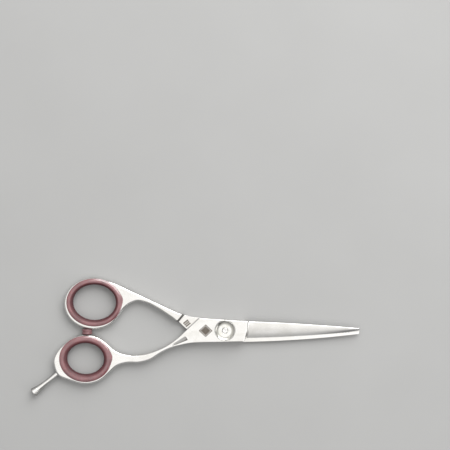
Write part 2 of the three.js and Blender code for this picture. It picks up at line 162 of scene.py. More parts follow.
def face_mesh(edges, side, depth, features, spacing):
    """Triangles over the material. Returns plan points, depths, triangles, the tilt and inward direction at
    rounded points, and where each point of the outline went."""
    pts, tilt, inward, drop, constraints = [], [], [], [], []

    def put(*values):
        for column, value in zip((pts, tilt, inward, drop), values):
            column.append(value)

    for e in edges:
        base = len(pts)
        n = len(e.p)
        for i in range(n):
            put(e.p[i], 0.0 if e.r[side][i] > SQUARE else 1.0, e.n[i], e.r[side][i])
            constraints.append((base + i, base + (i + 1) % n))
    rim = len(pts)
    allp = np.vstack([e.p for e in edges])
    alln = np.vstack([e.n for e in edges])
    allr = np.concatenate([e.r[side] for e in edges])
    tree = point_tree(allp)

    for e in edges:
        for i in range(len(e.p)):
            r = e.r[side][i]
            if r <= SQUARE:
                continue
            rows = 6 if r > 0.5 else 4 if r > 0.15 else 2
            for k in range(1, rows + 1):
                a = math.pi / 2 * k / rows
                d = r * (1 - math.cos(a))
                q = e.p[i] + e.n[i] * d * e.reach[i]
                if tree.find((q[0], q[1], 0))[2] < 0.97 * d:
                    continue
                put(q, math.sin(a), e.n[i], r * (1 - math.sin(a)))

    lines = np.vstack(features) if features else np.zeros((0, 2))
    fine = point_tree(lines)
    lo, hi = allp.min(0), allp.max(0)
    gx, gy = np.meshgrid(np.arange(lo[0], hi[0], spacing), np.arange(lo[1], hi[1], spacing * 0.87))
    gx = gx + (np.arange(gx.shape[0]) % 2)[:, None] * spacing / 2
    for group, gap in ((lines, 0.0), (np.c_[gx.ravel(), gy.ravel()], 0.3 * spacing)):
        for q in group:
            _, i, d = tree.find((q[0], q[1], 0))
            if d < allr[i] * 1.02 + max(gap, 0.04) or np.dot(q - allp[i], alln[i]) <= 0:
                continue
            if gap and len(lines) and fine.find((q[0], q[1], 0))[2] < 0.45 * spacing:
                continue
            put(q, 1.0, (0.0, 0.0), 0.0)

    made = geometry.delaunay_2d_cdt([Vector(q) for q in pts], constraints, [], 1, 1e-6)
    plan = np.array([tuple(v) for v in made[0]])
    source = np.array([o[0] if o else -1 for o in made[3]])
    tris = np.array([t for t in made[2] if len(t) == 3])
    middle = plan[tris].mean(1)
    keep = np.ones(len(tris), bool)
    for e in edges[1:]:
        keep &= ~inside(middle, e.p)
    tris = tris[keep]
    tilt, inward, drop = np.array(tilt), np.array(inward), np.array(drop)
    known = source >= 0
    tilt = np.where(known, tilt[source], 1.0)
    inward = np.where(known[:, None], inward[source], 0.0)
    drop = np.where(known, drop[source], 0.0)
    rim_at = np.full(rim, -1)
    for i, s in enumerate(source):
        if 0 <= s < rim:
            rim_at[s] = i
    z = depth(plan[:, 0], plan[:, 1]) + (drop if side == 0 else -drop)
    return plan, z, tris, tilt, inward, rim_at


def inside(points, loop):
    """Whether each point lies within a closed line."""
    x, y = points[:, 0][:, None], points[:, 1][:, None]
    x1, y1 = loop.T
    x2, y2 = np.roll(loop, -1, 0).T
    hit = ((y1 > y) != (y2 > y)) & (x < (x2 - x1) * (y - y1) / np.where(y2 == y1, 1e-12, y2 - y1) + x1)
    return hit.sum(1) % 2 == 1


def slopes(depth, x, y):
    """How steeply a depth changes along x and along y."""
    e = 1e-3
    return (depth(x + e, y) - depth(x - e, y)) / (2 * e), (depth(x, y + e) - depth(x, y - e)) / (2 * e)


def forged(name, edges, outer, inner, outer_lines, inner_lines, place, spacing=0.55):
    """Joins the outer face, the inner face and the wall between them, and places it all. Normals follow the
    slope of the depths, except where that is far from the way the flat triangle faces."""
    verts, faces, normals = [], [], []
    rims = []
    for side, depth, lines in ((0, outer, outer_lines), (1, inner, inner_lines)):
        plan, z, tris, tilt, inward, rim_at = face_mesh(edges, side, depth, lines, spacing)
        base = len(verts)
        p3 = np.c_[plan, z]
        sign = -1 if side == 0 else 1  # the outward direction along the depth axis
        a, b, c = p3[tris[:, 0]], p3[tris[:, 1]], p3[tris[:, 2]]
        flat = np.cross(b - a, c - a)
        flat /= np.maximum(np.linalg.norm(flat, axis=1), 1e-12)[:, None]
        wrong = flat[:, 2] * sign < 0
        tris[wrong] = tris[wrong][:, ::-1]
        flat[wrong] *= -1
        middle = plan[tris].mean(1)
        for k in range(3):
            v = tris[:, k]
            q = plan[v] + 0.04 * (middle - plan[v])
            gx, gy = slopes(depth, q[:, 0], q[:, 1])
            up = np.c_[-sign * gx, -sign * gy, np.full(len(gx), float(sign))]
            up /= np.linalg.norm(up, axis=1)[:, None]
            t = tilt[v][:, None]
            n = np.sqrt(np.maximum(0, 1 - t * t)) * np.c_[-inward[v], np.zeros(len(v))] + t * up
            n /= np.linalg.norm(n, axis=1)[:, None]
            off = (n * flat).sum(1) < 0.86
            n[off] = flat[off]
            normals.append(n)
        corner = np.stack(normals[-3:], 1)
        del normals[-3:]
        verts.extend(map(tuple, p3))
        faces.extend(tuple(int(i) + base for i in t) for t in tris)
        normals.append(corner.reshape(-1, 3))
        rims.append(rim_at + base)
    wall_normals = []
    start = 0
    for e in edges:
        n = len(e.p)
        for i in range(n):
            j = (i + 1) % n
            quad = (rims[0][start + i], rims[0][start + j], rims[1][start + j], rims[1][start + i])
            if len(set(quad)) < 4 or min(quad) < 0:
                continue
            along = e.p[j] - e.p[i]
            flat = np.array([along[1], -along[0], 0.0])
            flat /= max(np.linalg.norm(flat), 1e-12)
            faces.append(tuple(int(q) for q in quad))
            for k in (i, j, j, i):
                m = np.array([-e.n[k][0], -e.n[k][1], 0.0])
                wall_normals.append(flat if e.sharp[k] or np.dot(m, flat) < 0.9 else m)
        start += n
    normals = np.vstack([*normals, np.array(wall_normals)])
    return mesh_object(name, np.array([place(*v) for v in verts]), [f[::-1] for f in faces],
                       flip_corners(faces, turned(normals, place)))


def turned(normals, place):
    """Normals turned the way place turns points."""
    origin = np.array(place(0, 0, 0), float)
    basis = np.array([np.array(place(*row), float) - origin for row in np.eye(3)])
    return normals @ basis


def flip_corners(faces, normals):
    """Corner normals in the order of the reversed faces."""
    out, at = np.empty_like(normals), 0
    for f in faces:
        out[at : at + len(f)] = normals[at : at + len(f)][::-1]
        at += len(f)
    return out


def mesh_object(name, verts, faces, normals=None):
    """A smooth-shaded mesh, from points in millimetres."""
    mesh = bpy.data.meshes.new(name)
    mesh.from_pydata((np.asarray(verts) * MM).tolist(), [], faces)
    mesh.polygons.foreach_set("use_smooth", [True] * len(mesh.polygons))
    if normals is not None:
        mesh.normals_split_custom_set(normals.tolist())
    mesh.update()
    obj = bpy.data.objects.new(name, mesh)
    bpy.context.scene.collection.objects.link(obj)
    return obj


# ---------- shapes of revolution and sweeps ----------
def sweep(name, rings, closed=True, crease=32):
    """A skin over rows of points, each row joined to the next and the last to the first."""
    rows, count = len(rings), len(rings[0])
    verts = [tuple(p) for ring in rings for p in ring]
    faces = []
    for i in range(rows if closed else rows - 1):
        j = (i + 1) % rows
        for k in range(count):
            n = (k + 1) % count
            faces.append((i * count + k, j * count + k, j * count + n, i * count + n))
    obj = mesh_object(name, verts, faces)
    tidy(obj, crease)
    return obj


def tidy(obj, crease):
    """Merges points that meet, turns the faces outwards and leaves edges above the crease angle sharp."""
    bm = bmesh.new()
    bm.from_mesh(obj.data)
    bmesh.ops.remove_doubles(bm, verts=bm.verts, dist=1e-8)
    bmesh.ops.dissolve_degenerate(bm, edges=bm.edges, dist=1e-9)
    bmesh.ops.recalc_face_normals(bm, faces=bm.faces)
    for edge in bm.edges:
        edge.smooth = not (edge.is_manifold and edge.calc_face_angle(0) > math.radians(crease))
    bm.to_mesh(obj.data)
    bm.free()


def turned_piece(name, profile, at, axis=(0, 0, 1), sides=128, crease=32, shape=None):
    """Revolves (radius, height) points round an axis. shape(angle, radius, height) may move each point."""
    axis = Vector(axis).normalized()
    turn = Vector((0, 0, 1)).rotation_difference(axis)
    rings = []
    for i in range(sides):
        a = 2 * math.pi * i / sides
        ring = []
        for r, h in profile:
            if shape:
                r, h = shape(a, r, h)
            ring.append(np.array(turn @ Vector((r * math.cos(a), r * math.sin(a), h))) + at)
        rings.append(ring)
    return sweep(name, rings, crease=crease)


def fillet(profile, radius, steps=4, closed=False):
    """Rounds the corners of a profile. The radius is one number, or a list with one for each corner."""
    p = [np.array(q, float) for q in profile]
    radii = radius if isinstance(radius, (list, tuple)) else [radius] * len(p)
    out = []
    for i, q in enumerate(p):
        if radii[i] <= 0 or (not closed and i in (0, len(p) - 1)):
            out.append(tuple(q))
            continue
        a, b = p[i - 1] - q, p[(i + 1) % len(p)] - q
        la, lb = np.linalg.norm(a), np.linalg.norm(b)
        d = min(radii[i], 0.48 * la, 0.48 * lb)
        start, end = q + a / la * d, q + b / lb * d
        for k in range(steps + 1):
            t = k / steps
            out.append(tuple((1 - t) ** 2 * start + 2 * t * (1 - t) * q + t * t * end))
    return out


# ---------- the finger half and the thumb half ----------
# Both are drawn as they look from their own outer face: x along the blade, v from the cutting side to the
# spine side, and depth from the outer face. Each is then turned into place.
finger_low, finger_high = box("finger_ring_insert")
thumb_low, thumb_high = box("thumb_ring_insert")
FINGER_C = (finger_low + finger_high)[:2] / 2
FINGER_WALL, FINGER_LIP = 2.1, 1.65  # rubber inside the ring's hole, and over its faces
THUMB_WALL, THUMB_LIP = 1.5, 1.6
FINGER_HOLE = ((finger_high - finger_low)[:2] / 2) - FINGER_LIP
THUMB_C = (thumb_low + thumb_high)[:2] / 2
THUMB_HOLE = ((thumb_high - thumb_low)[:2] / 2) - THUMB_LIP
FINGER_RIM = (-69.2, -14.5, 13.9, 12.3)  # centre and half widths of each ring's round outside
THUMB_RIM = (-65.4, -13.3, 14.6, 12.85)
RING_DEPTH = 0.64  # how far the rings' faces lie below the front and back of the block
RING_ROUNDING = 0.95
LAND = 0.14  # thickness left at the plain blade's edge; the comb's is 0.1 more
HEEL = 10.6  # where the blades leave the block
HEEL_THICKNESS, TIP_THICKNESS = 1.9, 1.0
HOLLOW = 0.09  # depth of the hollow grind on the inner faces
RECESS_R = 4.42
BUSHING_HOLE_R = 2.81
NECK_HOLE_R, NECK_HOLE_HALF = 2.12, 1.72  # the keyed hole: its radius, and half the width between its flats
HEAD_POCKET_R, HEAD_POCKET_DEPTH = 3.72, 0.88
DIAL_POCKET_R, DIAL_POCKET_DEPTH = 4.52, 0.85
SHOULDER_FILLET = 1.15
STEP_START, STEP_WIDTH = -0.35, 1.3  # the step out to the arm, measured from its line
ARM_SHARE = 0.86  # how much of the thickness beyond its own each arm takes up behind the step

FINGER_SHANK = [
    (-12.6, 6.1), (-18.8, 0.5), (-23.4, -3.8), (-28.7, -7.3), (-33.6, -9.6), (-38, -11.2), (-43, -12.1),
    (-49, -12.0), (-53.6, -10.5), (-57.0, -8.0), *arc(*FINGER_RIM, 46, 140, 9), (-83.4, -10.4),
    (-85.35, -15.2), (-84.8, -18.6), (-83.9, -21.0), (-82.3, -23.0), (-79.6, -24.1),
    *arc(*FINGER_RIM, 246, 308, 6), (-57.2, -21.1), (-53.3, -17.6), (-48.7, -16.3), (-42.5, -16.2),
    (-36.6, -14.5), (-32.4, -11.8), (-27.2, -8.9), (-21.2, -7), (-17.6, -6.3), (-12, -5.95), (-4, -5.8),
    (4, -5.62), (9.5, -5.5)]
THUMB_SHANK = [
    (-12.6, 5.9), (-17.5, 1), (-23.4, -4.05), (-28.5, -7.6), (-34, -11.1), (-39.2, -13.6), (-43.7, -14.5),
    (-47.6, -12.9), (-50.2, -10.6), (-52.2, -7.9), *arc(*THUMB_RIM, 38, 298, 24), (-55.4, -23.7),
    (-49, -20.75), (-42.4, -17.7), (-38, -15.65), (-33, -13.3), (-27.1, -10.55), (-20.4, -7.5), (-17, -6.6),
    (-12.6, -6.1), (-4, -5.5), (4, -4.95), (HEEL - 0.4, -4.55)]

TEETH = 32
PITCH = 1.5
FIRST_GAP = 13.6
GAP_HALF = 0.31  # half the width of the gap between two teeth
NOTCH_HALF, NOTCH_DEPTH = 0.26, 0.3  # the V in each tooth's end
HEEL_BAR, TIP_BAR = 2.9, 1.15  # solid metal behind the teeth
BEVEL_BACK = 0.35  # how far behind the teeth's roots the bevel starts


def quadratic(a, b, c):
    """A curve from a to c that is drawn towards b."""
    t = np.linspace(0, 1, 200)[:, None]
    a, b, c = (np.array(q, float) for q in (a, b, c))
    return (1 - t) ** 2 * a + 2 * t * (1 - t) * b + t * t * c


# A wedge-shaped flute is ground into the front of the finger half where its arm leaves the block.
FLUTE_TIP = np.array([-29.6, -9.1])
FLUTE_ALONG, FLUTE_ACROSS = np.array([0.845, 0.535]), np.array([0.535, -0.845])
FLUTE_LENGTH, FLUTE_FLARE, FLUTE_SLOPE, FLUTE_WALL = 11.8, 0.18, 0.3, 0.14


def flute_depth(x, v):
    """Depth of the flute: a ramp down from its upper side to a steep wall, faded in from its tip."""
    a = (x - FLUTE_TIP[0]) * FLUTE_ALONG[0] + (v - FLUTE_TIP[1]) * FLUTE_ALONG[1]
    p = (x - FLUTE_TIP[0]) * FLUTE_ACROSS[0] + (v - FLUTE_TIP[1]) * FLUTE_ACROSS[1]
    wide = np.maximum(FLUTE_FLARE * a, 0)
    wall = (wide + FLUTE_WALL - p) / FLUTE_WALL * wide
    depth = FLUTE_SLOPE * np.maximum(np.minimum(p, wall), 0)
    return depth * smoothstep(a, 2.4, 5.5) * np.clip((FLUTE_LENGTH - a) / 0.3, 0, 1)


def flute_lines():
    """Rows of points along the creases of the flute, for the mesh to follow."""
    a = (FLUTE_LENGTH - 0.15 * np.arange(63))[:, None]
    rows = [FLUTE_TIP + a * FLUTE_ALONG + (FLUTE_FLARE * a * f + extra) * FLUTE_ACROSS
            for f, extra in ((0, 0), (1 / 3, 0), (2 / 3, 0), (1, 0), (1, FLUTE_WALL))]
    for at in (FLUTE_LENGTH - 0.3, FLUTE_LENGTH):
        width = np.linspace(0, FLUTE_FLARE * at, 13)[:, None]
        rows.append(FLUTE_TIP + at * FLUTE_ALONG + width * FLUTE_ACROSS)
    return rows


def make_half(name, comb, place):
    """One forged half: blade, block, shank and ring."""
    if comb:
        spine = quadratic((TIP_X - 0.4, 2.0), (40, 5.35), (HEEL - 1.4, 5.95))
        cutting = quadratic((TIP_X, -0.35), (40, -2.7), (HEEL - 1, -3.6))
        shank = THUMB_SHANK
        shoulder_line = ((HEEL - 0.2, -4.4), (HEEL - 0.9, 5.3))
        step_line = ((-20.4, -7.6), (-23.4, -4.05))
        hole = arc(THUMB_C[0], -THUMB_C[1], *THUMB_HOLE, 0, -360, 260)[:-1]
    else:
        spine = quadratic((TIP_X - 0.35, 1.0), (38.5, 3.45), (HEEL + 0.3, 4.5))
        cutting = quadratic((TIP_X, -0.3), (42, -3.25), (HEEL - 0.8, -3.85))
        shank = FINGER_SHANK
        shoulder_line = ((HEEL - 1.05, -4.9), (HEEL + 0.6, 4.5))
        step_line = ((-21.2, -7.0), (-23.4, -3.8))
        hole = arc(*FINGER_C, *FINGER_HOLE, 0, -360, 260)[:-1]
    sx, sy = spine[::-1].T
    cx, cy = cutting[::-1].T

    def spine_y(x):
        return np.interp(x, sx, sy)

    def cut_y(x):
        return np.interp(x, cx, cy)

    def across(x, v):
        return np.clip((spine_y(x) - v) / (spine_y(x) - cut_y(x)), 0, 1)

    def root_y(x):
        """Where the comb's teeth end in the solid bar along its spine."""
        return spine_y(x) - np.interp(x, [HEEL, TIP_X], [HEEL_BAR, TIP_BAR])

    def blade_depth(x, v):
        t = np.interp(x, [HEEL, TIP_X], [HEEL_THICKNESS, TIP_THICKNESS])
        u = across(x, v)
        if comb:
            bar = np.clip((spine_y(x) - root_y(x) - BEVEL_BACK) / (spine_y(x) - cut_y(x)), 0, 1)
            w = np.clip((u - bar) / (1 - bar), 0, 1)
            crown = 1 - 0.06 * np.minimum(u / bar, 1) ** 2
            return THICK - (LAND + 0.1 + (t - LAND - 0.1) * crown * (1 - w**1.25))
        return THICK - (LAND + (t - LAND) * (1 - u**2.1))

    (ax, ay), (bx, by) = shoulder_line

    def shoulder_x(v):
        u = (v - ay) / (by - ay)
        return ax + (bx - ax) * u + 0.3 * np.sin(np.pi * np.clip(u, 0, 1))

    def ring_share(x):
        return smoothstep(-x, 24, 50)

    def outer(x, v):
        s = x - shoulder_x(v)
        f = 1 - (1 - np.clip(s / SHOULDER_FILLET, 0, 1)) ** 2.2
        w = np.where(s > 0, blade_depth(x, v) * f, 0.0) + RING_DEPTH * ring_share(x)
        rr = np.hypot(x, v)
        if comb:
            return np.where(rr < HEAD_POCKET_R, HEAD_POCKET_DEPTH, w)
        return np.where(rr < DIAL_POCKET_R, DIAL_POCKET_DEPTH, w + flute_depth(x, v))

    (px, py), (qx, qy) = step_line
    length = math.hypot(qx - px, qy - py)
    nx, ny = (py - qy) / length, (qx - px) / length
    if nx > 0:
        nx, ny = -nx, -ny
    far = THICK + (FULL - THICK) * ARM_SHARE

    def inner(x, v):
        s = (x - px) * nx + (v - py) * ny
        low = far + (FULL - RING_DEPTH - far) * ring_share(x)
        t = np.clip((s - STEP_START) / STEP_WIDTH, 0, 1)
        w = THICK + (low - THICK) * (t - np.sin(2 * np.pi * t) / (2 * np.pi))
        blade = x > shoulder_x(v)
        w = np.where(blade, THICK - HOLLOW * np.sin(np.pi * across(x, v)) * smoothstep(x, HEEL, HEEL + 4), w)
        return np.where(np.hypot(x, v) < RECESS_R, THICK - RECESS, w)

    # outline, anticlockwise from the tip, with the rounding of its outer and inner edges
    heel_x, heel_y = shank[-1]
    loops = []

    def add(points, ro, ri):
        points = np.asarray(points, float)
        rounding = (np.broadcast_to(r, len(points))[:-1] for r in (ro, ri))
        loops.append((points[:-1], *rounding))

    top = resample(spine, 0.3)
    add(top, 0.34, 0.1)
    # Behind the comb blade the block is a little narrower than its spine.
    back = [top[-1], (HEEL - 2.3, 5.6), shank[0]] if comb else [top[-1], shank[0]]
    add(resample(np.array(back), 0.3), 0.3, 0.08)
    body = soften(curve(shank), 0.9)
    behind = -body[:, 0]
    to_heel = np.hypot(*(body - body[-1]).T)
    ro = (0.3 + 0.76 * smoothstep(behind, *((15, 27) if comb else (21, 33)))) * np.clip(to_heel / 1.2, 0, 1)
    ri = 0.08 + 0.97 * smoothstep(behind, 19, 27)
    add(body, ro, ri)
    if comb:
        tips = comb_outline(cut_y, root_y)
        add(resample(np.array([(heel_x, heel_y), (heel_x + 0.15, cut_y(heel_x + 0.15))]), 0.3), 0.0, 0.0)
        toothed = np.vstack([(heel_x + 0.15, cut_y(heel_x + 0.15)), tips, (TIP_X - 0.3, cut_y(TIP_X - 0.3))])
        add(dense(toothed, 0.2), 0.03, 0.0)
        add([(TIP_X - 0.3, cut_y(TIP_X - 0.3)), (TIP_X, -0.02), (TIP_X, 1.35), top[0]], 0.08, 0.03)
    else:
        low = resample(cutting[::-1], 0.3)
        choil = curve([(heel_x, heel_y), (heel_x + 0.12, heel_y + 0.5), tuple(low[0])], 0.1)
        add(choil, 0.0, 0.0)
        low = low[low[:, 0] < TIP_X - 0.35]
        add(np.vstack([low, (TIP_X, -0.02)]), 0.0, 0.0)
        add([(TIP_X, -0.02), (TIP_X, 0.7), top[0]], 0.06, 0.03)
    edges = [Edge(*(np.concatenate(part) for part in zip(*loops)))]
    edges.append(Edge(hole, RING_ROUNDING, RING_ROUNDING))
    if comb:
        bore = arc(0, 0, BUSHING_HOLE_R, BUSHING_HOLE_R, 0, -360, 96)[:-1]
    else:
        bore = arc(0, 0, NECK_HOLE_R, NECK_HOLE_R, 0, -360, 96)[:-1]
        bore = [(x, max(-NECK_HOLE_HALF, min(NECK_HOLE_HALF, y))) for x, y in bore]
        bore = [q for i, q in enumerate(bore) if q != bore[i - 1]]
    edges.append(Edge(bore, 0.0, 0.0))

    v = np.linspace(-6.2, 6.2, 90)
    outer_lines = [np.c_[shoulder_x(v) + s, v] for s in np.linspace(0, SHOULDER_FILLET, 11)]
    pocket = HEAD_POCKET_R if comb else DIAL_POCKET_R
    for r in (pocket - 0.008, pocket + 0.008):
        outer_lines.append(np.array(arc(0, 0, r, r, 0, 360, 140)[:-1]))
    if comb:
        x = np.arange(HEEL + 1, TIP_X - 0.5, 0.22)
        outer_lines.append(np.c_[x, root_y(x) + BEVEL_BACK])
    else:
        outer_lines += flute_lines()
    inner_lines = [np.array(arc(0, 0, r, r, 0, 360, 140)[:-1]) for r in (RECESS_R - 0.008, RECESS_R + 0.008)]
    u = np.linspace(-1.5, 1.5, 60)[:, None]
    start, end, normal = np.array([px, py]), np.array([qx, qy]), np.array([nx, ny])
    for s in np.linspace(STEP_START, STEP_START + STEP_WIDTH, 14):
        inner_lines.append(start * (0.5 - u / 2) + end * (0.5 + u / 2) + normal * s)
    return forged(name, edges, outer, inner, outer_lines, inner_lines, place)


def comb_outline(cut_y, root_y):
    """The toothed edge from heel to tip, with a rounded gap between teeth and a V in each tooth's end."""
    points = []
    for i in range(TEETH + 1):
        x = FIRST_GAP + i * PITCH
        root = root_y(x)
        points.append((x - GAP_HALF, cut_y(x - GAP_HALF)))
        points.append((x - GAP_HALF, (cut_y(x) + root) / 2 - 0.1))
        for k in range(9):
            a = math.pi - math.pi * k / 8
            points.append((x + GAP_HALF * math.cos(a), root - GAP_HALF + GAP_HALF * math.sin(a)))
        points.append((x + GAP_HALF, (cut_y(x) + root) / 2 - 0.1))
        points.append((x + GAP_HALF, cut_y(x + GAP_HALF)))
        if i < TEETH:
            m = x + PITCH / 2
            before, after = m - NOTCH_HALF, m + NOTCH_HALF
            points += [(before, cut_y(before)), (m, cut_y(m) + NOTCH_DEPTH), (after, cut_y(after))]
    return np.array(points)


finger_half = make_half("finger_half_visual", False, lambda x, v, w: (x, v, FRONT - w))
thumb_half = make_half("thumb_half_visual", True, lambda x, v, w: (x, -v, BACK + w))


# ---------- ring inserts ----------
def ring_insert(name, middle, hole, wall, lip, web_angle):
    """A soft tube of rubber with a lip over both faces of its ring, drawn out a little towards the shank."""
    front = FULL / 2 - RING_DEPTH
    proud = FULL / 2 - 0.045
    outside = [
        (-wall, 0), (-wall * 0.99, front * 0.4), (-wall * 0.93, front * 0.78), (-wall * 0.77, front + 0.04),
        (-wall * 0.52, front + 0.35), (-wall * 0.22, proud - 0.06), (lip * 0.06, proud),
        (lip * 0.34, proud - 0.045), (lip * 0.6, proud - 0.16), (lip * 0.82, proud - 0.31),
        (lip * 0.95, front + 0.17), (lip, front + 0.08), (lip - 0.06, front + 0.03)]
    skin = curve(outside, 0.13)
    under = [(0.98, front + 0.03)]
    for a in np.radians([25, 50, 75]):
        under.append((0.03 + 0.95 * (1 - math.sin(a)), front + 0.03 - 0.95 * (1 - math.cos(a))))
    under.append((0.03, front - 1.1))
    half = [tuple(q) for q in skin] + under
    profile = half + [(r, -z) for r, z in reversed(half)][:-1]
    rings = []
    for i in range(168):
        a = 2 * math.pi * i / 168
        nx, ny = math.cos(a) / hole[0], math.sin(a) / hole[1]
        size = math.hypot(nx, ny)
        nx, ny = nx / size, ny / size
        off = (a - web_angle + math.pi) % (2 * math.pi) - math.pi
        bulge = 0.55 * math.exp(-((off / 0.2) ** 2))
        x, y = middle[0] + hole[0] * math.cos(a), middle[1] + hole[1] * math.sin(a)
        ring = []
        for r, z in profile:
            out = r + bulge * smoothstep(r, 0.3 * lip, lip)
            ring.append((x + nx * out, y + ny * out, FULL / 2 + z))
        rings.append(ring)
    return sweep(name, rings, crease=50)


finger_insert = ring_insert("finger_insert_visual", FINGER_C, FINGER_HOLE, FINGER_WALL, FINGER_LIP,
                            math.radians(4))
thumb_insert = ring_insert("thumb_insert_visual", THUMB_C, THUMB_HOLE, THUMB_WALL, THUMB_LIP,
                           math.radians(8))

# ---------- bumper between the rings ----------
low, high = box("ring_bumper")
b_face, b_stem = low[1], high[1]
b_r = (high[0] - low[0]) / 2
b_top = b_stem - 1.7
b_long = b_top - b_face
bumper_profile = [(0, 0), (0.85, 0), (0.85, 1.7), *[
    (b_r * r, 1.7 + b_long * h) for r, h in (
        (0.86, 0.0), (0.955, 0.03), (0.99, 0.1), (0.985, 0.2), (0.95, 0.36), (0.935, 0.5), (0.95, 0.64),
        (0.985, 0.78), (0.985, 0.86), (0.94, 0.94), (0.86, 0.985), (0.75, 1.0), (0.5, 1.0), (0.44, 0.985),
        (0.4, 0.955), (0.2, 0.94))],
    (0, 1.7 + b_long * 0.94)]
bumper = turned_piece("bumper_visual", fillet(bumper_profile, [0, 0.1, 0, *[0.05] * 16, 0], 3),
                      ((low[0] + high[0]) / 2, b_stem, FULL / 2), (0, -1, 0), 96)

# ---------- finger rest ----------
slide = next(j for j in frame["joints"] if j["name"] == "finger_rest_unscrew")
rest_axis = np.array(slide["axis"], float)
low, high = box("finger_rest")
REST_LENGTH, REST_STUB = 15.3, 3.3
# The flat end's rim is what reaches the low corner of the box.
across_axis = np.array([abs(rest_axis[1]), abs(rest_axis[0])])
rest_root = np.array([*(low[:2] + np.abs(rest_axis[:2]) * REST_LENGTH + across_axis * 2.1), FULL / 2])


def thread(a, r, h):
    """Cuts a helical thread into the finger rest's stem."""
    if -REST_STUB + 0.25 < h < -0.25 and r > 0.7:
        phase = (h / 0.42 - a / (2 * math.pi)) % 1
        r = 0.9 - 0.13 * (1 - abs(2 * phase - 1))
    return r, h


rest_profile = [(0, -REST_STUB), (0.72, -REST_STUB), (0.9, -REST_STUB + 0.2)]
rest_profile += [(0.9, h) for h in np.linspace(-REST_STUB + 0.26, -0.26, 64)]
rest_profile += [(0.78, -0.2), (0.78, 0.0), (1.16, 0.0), (1.3, 0.12)]
rest_flare = [(1.3, 0.12), (1.3, 0.9), (1.24, 2.4), (1.14, 5.0), (1.17, 7.4), (1.33, 9.6), (1.62, 11.8),
              (2.0, 13.6), (2.24, 14.7)]
rest_profile += [tuple(q) for q in curve(rest_flare, 0.3)]
rest_profile += [(2.25, 14.82), (2.22, 15.02), (2.12, 15.2), (1.95, 15.29), (1.7, 15.3), (1.1, 15.26),
                 (0.5, 15.24), (0, 15.23)]
rest = turned_piece("finger_rest_visual", rest_profile, rest_root, rest_axis, 96, 30, thread)

# ---------- pivot ----------
low, high = box("tension_dial")
DIAL_R, DIAL_BACK = high[0], low[2]
NOTCH_AT = math.radians(35)


def scallop(a, r, h):
    """Draws the rim in at each of six notches, above the ledge they are cut down to."""
    if h < DIAL_BACK + 0.31 or r < 4:
        return r, h
    off = (a - NOTCH_AT + math.pi / 6) % (math.pi / 3) - math.pi / 6
    reach, cut = DIAL_R + 0.36, 0.8
    side = reach * math.sin(off)
    if abs(side) >= cut:
        return r, h
    wall = reach * math.cos(off) - math.sqrt(cut**2 - side**2)
    return min(r, wall + 0.06 * math.exp(-((cut - abs(side)) / 0.1))), h


b = DIAL_BACK
dial_profile = [
    (1.5, b + 0.5), (4.1, b + 0.5), (4.1, b + 0.06), (4.16, b), (4.72, b), (4.85, b + 0.04), (4.93, b + 0.13),
    (4.95, b + 0.24), (4.95, b + 0.305), (4.95, b + 0.315),
    *dense(np.array([(4.95, b + 0.42), (4.95, b + 1.2)]), 0.08),
    (4.94, b + 1.36), (4.89, b + 1.49), (4.81, b + 1.55), (4.72, b + 1.54), (4.64, b + 1.49)]
dial_dish = [(4.64, b + 1.49), (4.3, b + 1.32), (3.85, b + 1.17), (3.3, b + 1.05), (2.8, b + 0.98),
             (2.3, b + 0.95), (1.8, b + 0.94), (1.64, b + 0.935)]
dial_profile += [tuple(q) for q in curve(dial_dish, 0.08)][1:]
dial_profile += [(1.56, b + 0.91), (1.51, b + 0.86), (1.5, b + 0.78)]
dial = turned_piece("dial_visual", dial_profile, (0, 0, 0), (0, 0, 1), 288, 30, scallop)

PLATE_FRONT = box("click_plate")[1][2]
bolt_top = box("pivot_bolt")[1][2]
bolt_profile = [
    (0, 0.08), (0.9, 0.05), (2.3, 0.03), (3.3, 0.02), (3.44, 0.03), (3.55, 0.08), (3.6, 0.17), (3.6, 0.72),
    (3.52, 0.8), (2.12, 0.8), (2.0, 0.9), (2.0, RIDE), (2.0, PLATE_FRONT - 0.06), (1.94, PLATE_FRONT),
    (1.46, PLATE_FRONT), (1.4, PLATE_FRONT + 0.05)]
bolt_profile += [(1.4, h) for h in np.linspace(PLATE_FRONT + 0.1, bolt_top - 0.35, 40)]
bolt_profile += [(1.36, bolt_top - 0.2), (1.27, bolt_top - 0.07), (1.15, bolt_top), (0.5, bolt_top),
                 (0.42, bolt_top - 0.03), (0.25, bolt_top - 0.12), (0, bolt_top - 0.16)]


def bolt_shape(a, r, h):
    """Cuts a helical thread into the bolt's end and two flats on its neck."""
    if h > PLATE_FRONT + 0.08 and h < bolt_top - 0.34 and r > 1.3:
        phase = (h / 0.3 - a / (2 * math.pi)) % 1
        r = 1.4 - 0.09 * (1 - abs(2 * phase - 1))
    if RIDE <= h <= PLATE_FRONT and r > 1.9:
        r = min(r, 1.6 / max(abs(math.sin(a)), 1e-6))
    return r, h


bolt = turned_piece("pivot_bolt_visual", bolt_profile, (0, 0, 0), (0, 0, 1), 128, 30, bolt_shape)


def plain_ring(name, node, bore, rounding):
    """A ring as high and as wide as its CAD node, with rounded corners."""
    low, high = box(node)
    section = [(bore, low[2]), (high[0], low[2]), (high[0], high[2]), (bore, high[2])]
    return turned_piece(name, fillet(section, rounding, closed=True), (0, 0, 0))


